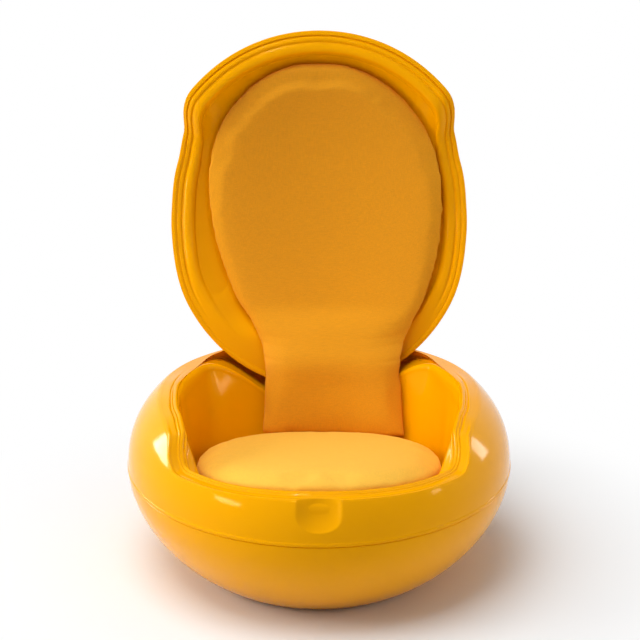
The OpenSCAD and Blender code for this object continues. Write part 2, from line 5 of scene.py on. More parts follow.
import bpy
import numpy as np
from bpy.props import FloatProperty, FloatVectorProperty, IntProperty, PointerProperty
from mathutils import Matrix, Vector


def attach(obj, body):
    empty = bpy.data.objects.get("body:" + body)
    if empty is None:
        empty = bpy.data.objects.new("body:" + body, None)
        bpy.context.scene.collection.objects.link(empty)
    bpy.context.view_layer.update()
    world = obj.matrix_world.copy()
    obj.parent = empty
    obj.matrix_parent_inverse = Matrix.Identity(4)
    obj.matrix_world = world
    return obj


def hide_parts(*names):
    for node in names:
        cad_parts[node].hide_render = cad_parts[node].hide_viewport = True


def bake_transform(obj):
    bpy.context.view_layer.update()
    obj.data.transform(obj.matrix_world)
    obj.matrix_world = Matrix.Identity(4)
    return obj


bl_info = {
    "name": "Pod Chair",
    "version": (1, 0, 0),
    "blender": (4, 5, 0),
    "location": "3D View > Sidebar > Pod Chair",
    "description": "Builds the shells, cushions and stage of a folding pod chair on its frame",
    "category": "Object",
}

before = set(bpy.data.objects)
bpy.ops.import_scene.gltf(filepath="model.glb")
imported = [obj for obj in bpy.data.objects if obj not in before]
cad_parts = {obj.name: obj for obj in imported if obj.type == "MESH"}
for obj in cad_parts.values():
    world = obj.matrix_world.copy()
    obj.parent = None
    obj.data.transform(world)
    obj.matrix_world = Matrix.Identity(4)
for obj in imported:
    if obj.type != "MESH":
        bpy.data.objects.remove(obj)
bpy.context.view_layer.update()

MM = 0.001

# The egg, in millimetres: half axes, height, belt and how full its two halves are
HALF_W, HALF_D, EGG_H, BELT_Z = 382.0, 420.0, 440.0, 202.0
FOOT_SHARE, LOWER_POWER, UPPER_POWER = 0.634, 1.76, 2.41
WALL = 5.0
# The seam's heights and the rim
FRONT_Z, ARM_Z, CORNER_DIP, STEEP_SHARE, ARM_SWELL = 288.0, 345.0, 5.0, 0.667, 6.0
RIM_W, RIM_RISE, ARCH_H, SEAM_GAP, TAIL_GAP = 36.0, 5.0, 4.0, 2.0, 5.0
# Angles from the front, in degrees, between which a form comes in, or comes in and goes out
CLIMB_AZ, STEEP_AZ = (51, 69), (47.5, 58.5)
DIP_AZ, SWELL_AZ = (0, 36, 45, 51), (66, 86, 94, 120)
ROLL_AZ, EASE_AZ = (72, 96, 114, 134), (98, 110, 146, 166)
RIM_FADE, LINE_FADE, HOLLOW_AZ = (96, 120), (100, 116), (52, 68)
TAIL_AZ, LID_TAIL_AZ = (120, 137), (108, 130)
# The hinge
HINGE_Y, HINGE_Z, OPEN_ANGLE = 270.0, 340.0, 101.0
# The well, the ridge behind it and the trough under the lid's tail
WELL_X, WELL_FRONT, WELL_REAR, WELL_FLOOR = 252.0, -342.0, 215.0, 181.0
WELL_MID, WELL_D = (WELL_FRONT + WELL_REAR) / 2, (WELL_REAR - WELL_FRONT) / 2
WELL_POWER, FLOOR_SLOPE, ROLL, ARM_ROLL, COVE = 2.4, 0.2085, 9.0, 1.6, 24.0
RIDGE_Y, RIDGE_POWER, RIDGE_LIP, RIDGE_RISE, TROUGH_DROP = 250.0, 2.65, 1.0, 11.0, 15.0
TROUGH_FLAT, TROUGH_BEND, TROUGH_ROOM = 86.0, 60.0, 7.8
RIDGE_START, RIDGE_FULL, EASE_ROUNDS = 105.0, 180.0, 36
# Steps of the base's rim and of the lid's rim, which nest: distance inwards and height
RIM_STEPS = ((36.0, 1.6), (35.7, 2.9), (34.6, 3.8), (32.5, 4.1), (30.2, 3.8), (28.9, 2.9),
             (28.0, 2.1), (27.0, 2.3), (26.0, 2.8), (24.6, 2.8), (23.4, 2.1), (22.4, 0.9),
             (21.0, 0.3), (18.0, 0.5), (14.0, 0.7), (10.0, 0.4), (8.0, 0.3), (6.6, 0.8),
             (5.2, 1.4), (3.6, 1.7), (1.8, 1.3), (0.6, 0.4), (0.0, -1.2))
LID_STEPS = ((9.2, 4.6), (9.6, 3.6), (10.8, 3.4), (12.2, 3.0), (13.4, 1.8), (14.8, 1.0),
             (17.0, 0.8), (19.6, 1.0), (21.4, 1.8), (22.8, 3.6), (24.2, 4.9), (25.8, 4.6),
             (27.4, 3.5), (30.0, 2.9), (33.0, 2.8), (37.0, 3.1), (41.0, 4.2), (44.5, 6.4))
# The belt, where the two base mouldings meet, and its bead
BELT_LIP, BEAD, SPIGOT, SPIGOT_WALL = 6.0, 1.2, 12.0, 5.3
# The finger scoop
SCOOP_CUP, SCOOP_H, SCOOP_DEPTH, SCOOP_Z = 84.0, 62.0, 13.0, 258.0
SCOOP_OPEN, SCOOP_HALF_ANGLE, SCOOP_STEP = 16.0, 14.0, 0.45
# The lid
LID_DEPTH, LID_RISE, LINER_WALL, FLANGE_SHARE, COVE_DEPTH = 24.0, 6.5, 4.0, 0.45, 15.0
LID_HOLLOW, HOLLOW_AT, HOLLOW_W = 1.9, 20.0, 9.0
BAND_START, BAND_RISE, BAND_SLOPE, BAND_END = 44.5, 6.2, 1.1, 53.0
# The cushions
SEAT_PAD, SEAT_CROWN, SEAT_ROOM = 50.0, 14.0, 5.0
BACK_PAD, BACK_X, STRIP_X, BACK_DRIFT = 40.0, 256.0, 153.0, 28.0
TIP_Y, WIDE_Y, STRIP_Y, BACK_END = -340.0, -55.0, 285.0, 250.0
PAD_GAP, STRIP_TOP, STRIP_SINK, STRIP_BOW, FOLD_BOW = 3.3, 298.0, 3.0, 55.0, 13.0
VOXEL, CLOTH_FRAMES = 0.006, 20
FOLD_Z = (285, 310, 400, 440)
# Creases above the hinge: height, lean and depth, and where they run out
CREASES = ((331, 0.05, 0.6), (344, -0.06, 0.9), (357, 0.04, 1.1),
           (368, 0.09, 0.9), (380, -0.04, 0.7), (394, 0.05, 0.4))
CREASE_X, CREASE_REACH, CREASE_W = 24.0, 150.0, 3.2
# Lamps round the chair: name, angle from the front, rise, width, height and share of the
# main lamp's power. The soft ones light the surfaces and the others glint in the gloss.
LAMP_DISTANCE = 3.2
SOFT_LAMPS = (("left_soft", -80, 20, 1.6, 1.6, 0.58), ("right_soft", 94, 3, 1.6, 1.2, 0.34))
GLINT_LAMPS = (("window_left", -111, 18, 1.15, 1.1, 1.0),
               ("window_right", 115, 13, 0.45, 1.1, 0.17),
               ("glint_left", -54, 9, 0.9, 0.3, 0.25), ("glint_right", 72, 10, 0.35, 0.35, 0.06),
               ("glint_top", -20, 62, 0.5, 0.3, 0.5))
TOP_LAMP, TOP_LAMP_SIZE, TOP_SHARE = (-1.2, -0.9, 5.0), (3.8, 3.5), 2.15
# Rays that see the white surroundings
WHITE_RAYS = ("Is Camera Ray", "Is Glossy Ray", "Is Transmission Ray")


# Shape functions of the egg

def smooth(low, high, x):
    """Goes softly from 0 at low to 1 at high."""
    t = np.clip((x - low) / (high - low), 0.0, 1.0)
    return t * t * (3.0 - 2.0 * t)


def passing(limits, x):
    """Goes softly from 0 to 1 between the first two limits and back between the others."""
    return smooth(limits[0], limits[1], x) * (1.0 - smooth(limits[2], limits[3], x))


def mix(a, b, t):
    """Goes from a to b with t, where a and b may be points and t one number for each."""
    t = np.asarray(t, float)
    if np.ndim(a) > np.ndim(t) and t.ndim:
        t = t[..., None]
    return a + (b - a) * t


def folded(az):
    """Angle from the front, the same on both sides."""
    return np.where(az > 180.0, 360.0 - az, az)


def reach(z, t=0.0):
    """Share of the belt's half axes that the egg has at a height."""
    z = np.asarray(z, float)
    low = 1.0 - (1.0 - FOOT_SHARE ** 2) * np.clip((BELT_Z - z) / BELT_Z, 0, 1) ** LOWER_POWER
    high = 1.0 - np.clip((z - BELT_Z) / (EGG_H - t - BELT_Z), 0, 1) ** UPPER_POWER
    return np.sqrt(np.where(z < BELT_Z, low, high))


def egg(az, z, t=0.0):
    """Points of the egg's surface at heights, inside a skin of thickness t."""
    r = reach(z, t)
    a = np.radians(az)
    z = np.broadcast_to(z, a.shape)
    return np.stack([(HALF_W - t) * r * np.sin(a), -(HALF_D - t) * r * np.cos(a), z], -1)


def dome(x, y, t=0.0):
    """Height of the egg's top above a place, inside a skin of thickness t."""
    r = (x / (HALF_W - t)) ** 2 + (y / (HALF_D - t)) ** 2
    return BELT_Z + (EGG_H - t - BELT_Z) * np.clip(1.0 - r, 0, 1) ** (1.0 / UPPER_POWER)


def tail_reach(x):
    """How far the lid's tail reaches behind the hinge."""
    return HALF_D * np.sqrt(np.clip(reach(ARM_Z) ** 2 - (x / HALF_W) ** 2, 0, 1)) - HINGE_Y


def lid_edge(az):
    """Height of the lid's edge: low at the front, a steep climb, and a faint swell at the arm."""
    a = folded(az)
    climb = mix(smooth(*CLIMB_AZ, a), smooth(*STEEP_AZ, a), STEEP_SHARE)
    rise = (ARM_Z - FRONT_Z) * climb - CORNER_DIP * passing(DIP_AZ, a)
    return FRONT_Z + rise + ARM_SWELL * passing(SWELL_AZ, a)


def tail(az):
    """1 where the base makes room for the lid's tail."""
    return smooth(*TAIL_AZ, folded(az))


def lid_tail(az):
    """1 where the lid's rim has become the flat flange of its tail."""
    return smooth(*LID_TAIL_AZ, folded(az))


def rim_share(az):
    """1 where the base's rim has its full height, 0 behind the arms."""
    return 1.0 - smooth(*RIM_FADE, folded(az))


def base_edge(az):
    return lid_edge(az) - SEAM_GAP - TAIL_GAP * tail(az)


def inward(p, d, z):
    """Moves points of a ring inwards by d and to height z."""
    length = np.hypot(p[:, 0], p[:, 1])
    s = 1.0 - d / length
    return np.stack([p[:, 0] * s, p[:, 1] * s, z + 0.0 * s], -1)


def scoop(az, z):
    """How far the finger scoop sinks the skin: a cup that reaches the rim's edge."""
    a = np.radians(az)
    x = HALF_W * np.sin(a)
    low = np.minimum(0.0, z - SCOOP_Z - 4.0)
    q = np.abs(2 * x / SCOOP_CUP) ** 2.2 + (low / (SCOOP_H / 2 + 2.0)) ** 2
    sunk = SCOOP_DEPTH * np.clip(1.0 - q, 0, 1) ** 0.9
    open_top = mix(0.8, 1.0, smooth(0.0, SCOOP_OPEN, base_edge(az) - z))
    return np.where(np.cos(a) < 0, 0.0, sunk * open_top)


def rim_point(az, share, rise):
    """A point of the base's rim at shares of its width and of its rise."""
    z = base_edge(az)
    d = mix(RIM_W, WALL, tail(az)) * share
    return inward(egg(az, z), d, z + RIM_RISE * rim_share(az) * rise)


def rim_ring(az, d, h):
    """A ring of the base's rim: its steps run out into one smooth arch at the arms."""
    z = base_edge(az)
    a = folded(az)
    inner, crest = smooth(19.0, 24.0, d), 22.0
    line = math.exp(-((d - 25.0) / 1.8) ** 2) * (1.0 - smooth(*LINE_FADE, a))
    arch = ARCH_H * smooth(0, crest, d) * (1.0 - (max(0.0, d - crest) / crest) ** 2)
    arch = arch - 0.2 - math.exp(-(d / 2.0) ** 2) - 1.5 * line
    height = mix(h, arch, smooth(54 + 26 * inner, 68 + 36 * inner, a)) * rim_share(az)
    sunk = scoop(az, z) * (1.0 - smooth(2.0, 15.0, d))
    inwards = mix(RIM_W, WALL, tail(az)) * d / RIM_W + sunk
    return inward(egg(az, z), inwards, z + height - 0.12 * sunk)


def eased(ring, az):
    """Rounds a ring where an arm turns into the ridge behind the well."""
    weight = passing(EASE_AZ, folded(az))
    for _ in range(EASE_ROUNDS):
        even = (np.roll(ring, 1, 0) + np.roll(ring, -1, 0) + 2 * ring) / 4
        ring = mix(ring, even, weight)
    return ring


def trough_floor(x):
    """Height of the trough, just clear of the lid's tail as it swings."""
    low = HINGE_Z - tail_reach(0.0) - TROUGH_ROOM
    side = np.maximum(low, HINGE_Z - np.maximum(0, tail_reach(x)) - TROUGH_DROP)
    return mix(low, side, smooth(TROUGH_FLAT, TROUGH_FLAT + TROUGH_BEND, np.abs(x)))


def trough_edge(az):
    p = rim_point(az, 1.0, 0.0)
    return mix(p, egg(az, trough_floor(p[:, 0]), WALL), tail(az))


def ridge(az):
    """The inner edge of the rim, and behind the well the crest of the ridge."""
    x = rim_point(az, 1.0, 0.0)[:, 0] * 0.97
    wide = HALF_W * reach(ARM_Z - SEAM_GAP) - RIM_W
    y = RIDGE_Y * np.clip(1 - np.abs(x / wide) ** RIDGE_POWER, 0, 1) ** (1 / RIDGE_POWER)
    lip = RIDGE_LIP * smooth(TROUGH_FLAT, TROUGH_FLAT + TROUGH_BEND / 2, np.abs(x))
    lip = lip + RIDGE_RISE * smooth(RIDGE_START, RIDGE_FULL, np.abs(x))
    top = np.stack([x, y, trough_floor(x) + lip], -1)
    return mix(rim_point(az, 1.02, -0.2), top, tail(az))


def floor_at(y):
    return WELL_FLOOR - FLOOR_SLOPE * (y - WELL_MID)


def full_oval(az, rx, ry, power):
    """An oval that is fuller than an ellipse where power is over 2."""
    s, c = np.sin(np.radians(az)), np.cos(np.radians(az))
    return (rx * np.sign(s) * np.abs(s) ** (2 / power),
            -ry * np.sign(c) * np.abs(c) ** (2 / power))


def well_point(az, grow, lift):
    """A point round the well, grown outwards and lifted off its sloping floor."""
    x, y = full_oval(az, WELL_X + grow, WELL_D + grow, WELL_POWER)
    y = y + WELL_MID
    return np.stack([x, y, floor_at(y) + lift], -1)


def rolled(az, out, down):
    """A point of the roll from the ridge into the well."""
    p, q = ridge(az), well_point(az, 0, 0)
    d = q[:, :2] - p[:, :2]
    roll = ROLL * (1.0 + ARM_ROLL * passing(ROLL_AZ, folded(az)))
    step = roll * out / np.maximum(roll, np.hypot(d[:, 0], d[:, 1]))
    return np.stack([p[:, 0] + d[:, 0] * step, p[:, 1] + d[:, 1] * step,
                     p[:, 2] - roll * down], -1)


def dish(x, y, t):
    """Height of the lid's inner face, t below its dome and flat by the hinge."""
    flange = smooth(HINGE_Y - 90, HINGE_Y - 12, y)
    flat = ARM_Z + LID_RISE * FLANGE_SHARE + LID_DEPTH - t
    return mix(dome(x, y, t), flat, flange)


def lid_rim_point(az, d, h, lift=0.0):
    """A point of the liner's rim, kept inside the dome's wall."""
    z = lid_edge(az)
    hollow = LID_HOLLOW * np.exp(-((d - HOLLOW_AT) / HOLLOW_W) ** 2)
    hollow = hollow * smooth(*HOLLOW_AZ, folded(az))
    up = mix(h + hollow, LID_RISE * FLANGE_SHARE, lid_tail(az)) + lift
    p, q = egg(az, z), egg(az, z, WALL)
    length, inner = np.hypot(p[:, 0], p[:, 1]), np.hypot(q[:, 0], q[:, 1])
    s = 0.86
    slope = (inner - length * s) / (dome(p[:, 0] * s, p[:, 1] * s, WALL) - z)
    d = np.maximum(d, length - inner + up * slope + 0.5)
    return inward(p, d, z + up)


def dish_ring(az, share, t):
    """A ring of the liner's back, drawn in by a share."""
    p = lid_rim_point(az, 32.0, 7.0, LINER_WALL)
    x, y = p[:, 0] * (1 - share), p[:, 1] * (1 - share)
    return np.stack([x, y, np.maximum(p[:, 2] + LID_DEPTH - t, dish(x, y, t))], -1)


def opened(points):
    """Turns points of the closed lid into the open lid."""
    a = math.radians(OPEN_ANGLE)
    p = np.array(points, float)
    y, z = p[..., 1] - HINGE_Y, p[..., 2] - HINGE_Z
    p[..., 1] = HINGE_Y + y * math.cos(a) + z * math.sin(a)
    p[..., 2] = HINGE_Z - y * math.sin(a) + z * math.cos(a)
    return p


# Mesh making

def rounded(rings, rounds=2):
    """Cuts the corners between rings, so that steps get soft edges."""
    rings = np.array(rings, float)
    for _ in range(rounds):
        near = 0.75 * rings[:-1] + 0.25 * rings[1:]
        far = 0.25 * rings[:-1] + 0.75 * rings[1:]
        cut = np.stack([near, far], 1).reshape(-1, *rings.shape[1:])
        rings = np.concatenate([rings[:1], cut, rings[-1:]])
    return rings


def ring_mesh(name, rings):
    """A closed mesh through rings of points in millimetres, with its ends closed."""
    rings = np.array(rings, float)
    count, n = rings.shape[:2]
    points = np.concatenate([rings.reshape(-1, 3), [rings[0].mean(0)], [rings[-1].mean(0)]])
    faces = []
    for i in range(count - 1):
        a, b = i * n, (i + 1) * n
        faces += [(a + j, a + (j + 1) % n, b + (j + 1) % n, b + j) for j in range(n)]
    first, last = count * n, count * n + 1
    faces += [(first, (j + 1) % n, j) for j in range(n)]
    end = (count - 1) * n
    faces += [(last, end + j, end + (j + 1) % n) for j in range(n)]
    return finish_mesh(name, points, faces)


def finish_mesh(name, points, faces):
    """An object from points in millimetres, its faces turned outwards."""
    volume = 0.0
    for face in faces:
        p = points[list(face)]
        for k in range(1, len(face) - 1):
            volume += np.dot(p[0], np.cross(p[k], p[k + 1]))
    if volume < 0:
        faces = [tuple(reversed(face)) for face in faces]
    mesh = bpy.data.meshes.new(name)
    mesh.from_pydata((points * MM).tolist(), [], faces)
    mesh.shade_smooth()
    mesh.update()
    piece = bpy.data.objects.new(name, mesh)
    bpy.context.scene.collection.objects.link(piece)
    return piece


# Shader maths

class Wire:
    """A shader socket that can stand in sums; each sum adds its Math node."""

    def __init__(self, nodes, socket):
        self.nodes = nodes
        self.socket = socket

    def __add__(self, other):
        return self.nodes.sum("ADD", self, other)

    def __mul__(self, other):
        return self.nodes.sum("MULTIPLY", self, other)

    def __pow__(self, other):
        return self.nodes.sum("POWER", self, other)

    __radd__ = __add__
    __rmul__ = __mul__


class Nodes:
    """The nodes of a material or of the world, added one by one."""

    def __init__(self, tree):
        self.tree = tree
        tree.nodes.clear()

    def put(self, value, socket):
        if isinstance(value, Wire):
            self.tree.links.new(value.socket, socket)
        else:
            socket.default_value = value

    def node(self, kind, settings, sockets):
        """A node with its settings made first and then its values and links."""
        made = self.tree.nodes.new(kind)
        for key, value in settings.items():
            setattr(made, key, value)
        for key, value in sockets.items():
            self.put(value, made.inputs[key])
        return made

    def wire(self, kind, settings, sockets, out=0):
        return Wire(self, self.node(kind, settings, sockets).outputs[out])

    def sum(self, operation, first, second):
        return self.wire("ShaderNodeMath", {"operation": operation}, {0: first, 1: second})

    def wave(self, value, turns):
        return self.wire("ShaderNodeMath", {"operation": "SINE"}, {0: value * turns})

    def limit(self, value, low, high):
        return self.wire("ShaderNodeMapRange", {"interpolation_type": "SMOOTHSTEP"},
                         {"Value": value, "From Min": low, "From Max": high})

    def place(self):
        return self.wire("ShaderNodeTexCoord", {}, {}, "Object")

    def axes(self, vector):
        split = self.node("ShaderNodeSeparateXYZ", {}, {0: vector})
        return [Wire(self, out) for out in split.outputs]

    def stretched(self, vector, scale):
        return self.wire("ShaderNodeMapping", {}, {"Vector": vector, "Scale": scale})

    def noise(self, vector, scale, detail=2.0, roughness=0.5):
        return self.wire("ShaderNodeTexNoise", {},
                         {"Vector": vector, "Scale": scale, "Detail": detail,
                          "Roughness": roughness})

    def blend(self, factor, first, second):
        return self.wire("ShaderNodeMix", {"data_type": "RGBA"},
                         {0: factor, 6: first, 7: second}, 2)

    def white_rays(self):
        """1 for the rays that see the white surroundings."""
        path = self.node("ShaderNodeLightPath", {}, {})
        first, *others = [Wire(self, path.outputs[name]) for name in WHITE_RAYS]
        for other in others:
            first = first + other
        return first


class Finish(Nodes):
    """A material with one shader."""

    def __init__(self, name, **sockets):
        self.material = bpy.data.materials.new(name)
        self.material.use_nodes = True
        super().__init__(self.material.node_tree)
        self.output = self.node("ShaderNodeOutputMaterial", {}, {})
        self.shader = self.node("ShaderNodeBsdfPrincipled", {}, sockets)
        self.put(Wire(self, self.shader.outputs[0]), self.output.inputs[0])

    def colour(self, value):
        self.put(value, self.shader.inputs["Base Color"])

    def roughness(self, value):
        self.put(value, self.shader.inputs["Roughness"])

    def bump(self, height, distance, strength=1.0):
        normal = self.wire("ShaderNodeBump", {},
                           {"Height": height, "Distance": distance, "Strength": strength})
        self.put(normal, self.shader.inputs["Normal"])


def tint(colour, factor):
    """A colour made darker or lighter."""
    return (*[c * factor for c in colour[:3]], 1.0)


def lacquered_plastic(look):
    """High-gloss plastic with a faint orange peel and uneven depth of colour."""
    finish = Finish("lacquered_plastic", **{
        "IOR": 1.23, "Specular Tint": (1.0, 0.5, 0.03, 1.0), "Coat Weight": look.coat,
        "Coat Roughness": 0.04, "Coat IOR": 1.45})
    place = finish.place()
    cloud = finish.noise(place, 3.5, 3.0)
    fleck = finish.noise(place, 900.0, 1.0)
    colour = finish.blend(cloud, tint(look.shell_colour, 0.95), tint(look.shell_colour, 1.04))
    worn = finish.limit(finish.noise(place, 60.0, 4.0, 0.7), 0.68, 0.8)
    finish.colour(finish.blend(worn * 0.1, colour, tint(look.shell_colour, 1.12)))
    haze = finish.noise(place, 12.0, 3.0)
    finish.roughness(haze * 0.06 + fleck * 0.03 + look.shell_roughness)
    finish.bump(finish.noise(place, 95.0, 2.0), look.peel_depth)
    return finish.material


def woven_cloth(look, name, colour, flat):
    """Plain weave on the plane that flat names, with slubs, a soft sheen and a painted highlight:
    the weave's raised crossings painted lighter.
    """
    finish = Finish(name, **{
        "Sheen Weight": 0.08, "Sheen Roughness": 0.5, "Sheen Tint": (1.0, 0.75, 0.4, 1.0),
        "Specular IOR Level": 0.15})
    place = finish.place()
    x, y, z = finish.axes(place)
    turns = math.pi / look.thread
    over = finish.wave(x, turns) * finish.wave(y if flat else z, turns)
    weft = finish.noise(finish.stretched(place, (60.0, 900.0, 900.0)), 1.0, 2.0)
    across = (900.0, 60.0, 900.0) if flat else (900.0, 900.0, 60.0)
    warp = finish.noise(finish.stretched(place, across), 1.0, 2.0)
    fade = finish.noise(place, 5.0, 3.0)
    # Slubs give the threads their tone; the raised crossings of the weave (over) are also painted
    # lighter, a painted highlight on the thread tops.
    light = (weft + warp) * 0.5 + over * 0.12
    slub_tone_and_weave_shade = finish.blend(finish.limit(light, 0.2, 0.8), tint(colour, 0.86), tint(colour, 1.12))
    finish.colour(finish.blend(fade * 0.3, slub_tone_and_weave_shade, tint(colour, 0.93)))
    finish.roughness(weft * 0.1 + 0.8)
    finish.bump(over * 0.5 + weft * 0.8 + warp * 0.8, 0.0004, 0.6)
    return finish.material


def brushed_metal():
    """Plain stainless steel with a fine grain along its length."""
    finish = Finish("brushed_metal", **{"Metallic": 1.0})
    place = finish.place()
    grain = finish.noise(finish.stretched(place, (40.0, 1200.0, 1200.0)), 1.0, 2.0)
    finish.colour(finish.blend(grain, (0.5, 0.5, 0.5, 1), (0.68, 0.68, 0.67, 1)))
    finish.roughness(grain * 0.2 + 0.25)
    return finish.material


def dark_rubber():
    """Dull black rubber with a fine grain."""
    finish = Finish("dark_rubber")
    grain = finish.noise(finish.place(), 700.0, 3.0)
    finish.colour(finish.blend(grain, (0.02, 0.02, 0.02, 1), (0.05, 0.05, 0.05, 1)))
    finish.roughness(grain * 0.2 + 0.6)
    finish.bump(grain, 0.0002)
    return finish.material


def hook_tape():
    """Black tape with rows of small hooks."""
    finish = Finish("hook_tape")
    x, _, z = finish.axes(finish.place())
    turns = 3500.0
    hooks = finish.wave(x, turns) * finish.wave(z, turns)
    finish.colour(finish.blend(hooks * 0.5 + 0.5, (0.02, 0.02, 0.02, 1), (0.08, 0.08, 0.08, 1)))
    finish.roughness(hooks * 0.05 + 0.85)
    finish.bump(hooks, 0.0004)
    return finish.material


def dress(piece, material, body, slot, *nodes):
    """Gives a piece its finish and its body, and hides the frame's nodes that it stands for."""
    piece.data.materials.clear()
    piece.data.materials.append(material)
    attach(piece, body)
    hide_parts(*nodes)


# What a user would change

class PodShellLook(bpy.types.PropertyGroup):
    """Finish and fineness of the moulded shells."""

    shell_colour: FloatVectorProperty(
        name="Shell colour", description="Colour of the moulded plastic",
        default=(0.87, 0.37, 0.0), size=3, min=0.0, max=1.0, subtype="COLOR")
    shell_roughness: FloatProperty(
        name="Base roughness", description="Roughness under the clear coat",
        default=0.06, min=0.0, max=1.0, subtype="FACTOR")
    coat: FloatProperty(
        name="Coat", description="Weight of the clear coat",
        default=0.06, min=0.0, max=1.0, subtype="FACTOR")
    peel_depth: FloatProperty(
        name="Orange peel", description="Depth of the coat's unevenness",
        default=0.00012, min=0.0, max=0.001, subtype="DISTANCE", unit="LENGTH", precision=5)
    columns: IntProperty(
        name="Columns", description="Points round each shell",
        default=288, min=72, max=480)


class PodCushionLook(bpy.types.PropertyGroup):
    """Cloth and stuffing of the cushions; the seat's cloth is a lighter copy of the back's, as
    painted light on the seat and painted shade on the back.
    """

    # The back cushion's colour is the one cloth painted darker: painted shade for a face turned
    # away from the light above.
    back_colour_painted_shade: FloatVectorProperty(
        name="Back colour", description="Colour of the back cushion's cloth",
        default=(0.74, 0.30, 0.008), size=3, min=0.0, max=1.0, subtype="COLOR")
    # The seat cushion's colour is the same cloth painted lighter and yellower: painted light for
    # a face turned up to the lamps.
    seat_colour_painted_light: FloatVectorProperty(
        name="Seat colour", description="Colour of the seat cushion's cloth",
        default=(0.93, 0.52, 0.06), size=3, min=0.0, max=1.0, subtype="COLOR")
    thread: FloatProperty(
        name="Thread", description="Width of one thread of the weave",
        default=0.0009, min=0.0003, max=0.003, subtype="DISTANCE", unit="LENGTH", precision=5)
    pressure: FloatProperty(
        name="Pressure", description="Pressure that swells the cushions",
        default=4.0, min=0.0, max=20.0)
    swell: FloatProperty(
        name="Swell", description="The most that a point of a cushion may move",
        default=0.007, min=0.0, max=0.03, subtype="DISTANCE", unit="LENGTH", precision=4)


class PodStageLook(bpy.types.PropertyGroup):
    """Lamps and camera."""

    sky: FloatProperty(
        name="Sky", description="Strength of the even light from all round",
        default=0.285, min=0.0, max=2.0)
    lamp: FloatProperty(
        name="Lamps", description="Power of the main lamp",
        default=95.0, min=0.0, max=1000.0, unit="POWER")
    lens: FloatProperty(
        name="Lens", description="Focal length of the camera",
        default=105.86, min=20.0, max=400.0, subtype="DISTANCE_CAMERA", unit="CAMERA")
    distance: FloatProperty(
        name="Distance", description="Distance of the camera from the chair's middle",
        default=3.7, min=1.0, max=20.0, subtype="DISTANCE", unit="LENGTH")
    rise: FloatProperty(
        name="Rise", description="Angle at which the camera looks down, in degrees",
        default=18.3, min=0.0, max=80.0)
    shift: FloatVectorProperty(
        name="Shift", description="Sideways and upward shift of the lens",
        default=(0.0014, 0.01214), size=2)


# Shells

def around(look):
    """Angles round a shell, closer together at the finger scoop."""
    half = SCOOP_HALF_ANGLE
    close = np.arange(-half, half, SCOOP_STEP)
    rest = np.linspace(half, 360.0 - half, int(look.columns * (360 - 2 * half) / 360))[:-1]
    return np.concatenate([close, rest]) % 360.0


class PODCHAIR_OT_lower_shell(bpy.types.Operator):
    """Makes the lower base moulding"""

    bl_idname = "podchair.lower_shell"
    bl_label = "Lower shell"

    def execute(self, context):
        look = context.scene.pod_shell
        az = around(look)
        top = BELT_Z - 0.3
        rings = [egg(az, 0.0, 26.0), egg(az, 0.0, 10.0), egg(az, 0.4, 5.0), egg(az, 2.0, 1.6)]
        rings += [egg(az, z, 0.0) for z in np.linspace(5.0, top - 2.0, 15)]
        inner = SPIGOT_WALL + WALL
        rings += [egg(az, top - 1.2, 0.5), egg(az, top, 2.2), egg(az, top, SPIGOT_WALL),
                  egg(az, BELT_Z + SPIGOT, SPIGOT_WALL), egg(az, BELT_Z + SPIGOT, inner),
                  egg(az, top - SPIGOT, inner)]
        rings += [egg(az, top * s, WALL) for s in (0.55, 0.11)]
        rings += [egg(az, WALL, 3 * WALL)]
        piece = ring_mesh("lower_shell_skin", rounded(rings))
        dress(piece, bpy.data.materials["lacquered_plastic"], "base", "shell", "lower_shell")
        return {"FINISHED"}


class PODCHAIR_OT_upper_shell(bpy.types.Operator):
    """Makes the upper base moulding with its rim, well and trough"""

    bl_idname = "podchair.upper_shell"
    bl_label = "Upper shell"

    def execute(self, context):
        look = context.scene.pod_shell
        az = around(look)
        rings = [well_point(az, -WELL_X / 2, 0.0), well_point(az, -COVE, 0.0),
                 well_point(az, -COVE / 2, 2.0), well_point(az, -COVE / 5, 8.0),
                 well_point(az, -1.0, 15.0)]
        wall = well_point(az, 0.0, COVE)
        knee = eased(rolled(az, 0.95, 1.3), az)
        rings += [mix(wall, knee, t) for t in (0.0, 0.25, 0.5, 0.75, 1.0)]
        bend = [rolled(az, *s) for s in ((0.9, 0.9), (0.75, 0.5), (0.5, 0.2), (0.22, 0.04))]
        edge = trough_edge(az)
        bend += [mix(ridge(az), edge, t) for t in (0.0, 0.3, 0.6, 0.9, 1.0)]
        bend += [rim_ring(az, *s) for s in RIM_STEPS]
        rings += [eased(ring, az) for ring in bend]
        low = BELT_Z + BELT_LIP
        for s in (*np.linspace(0.975, 0.2, 34), 0.13, 0.07, 0.03):
            z = mix(low, base_edge(az), s)
            rings.append(egg(az, z, scoop(az, z)))
        rings += [egg(az, low + 2.2, 0.0), egg(az, low + 1.0, -0.3), egg(az, low + 0.3, -0.9),
                  egg(az, low - 0.6, -BEAD), egg(az, BELT_Z + 0.8, -BEAD),
                  egg(az, BELT_Z, -0.8), egg(az, BELT_Z, WALL)]
        rings += [egg(az, BELT_Z + 14.0, WALL),
                  egg(az, SCOOP_Z - SCOOP_H / 2, WALL + scoop(az, SCOOP_Z))]
        z = np.minimum(base_edge(az), edge[:, 2]) - WALL
        rings.append(egg(az, z, WALL))
        grow = tail(az) * WALL
        rings.append(inward(ridge(az), -grow, ridge(az)[:, 2] - WALL))
        rings.append(inward(knee, -WALL, knee[:, 2] - WALL))
        rings += [well_point(az, WALL, COVE / 2), well_point(az, -COVE, -WALL),
                  well_point(az, -WELL_X / 2, -WALL)]
        piece = ring_mesh("upper_shell_skin", rounded(rings))
        dress(piece, bpy.data.materials["lacquered_plastic"], "base", "shell", "upper_shell")
        return {"FINISHED"}


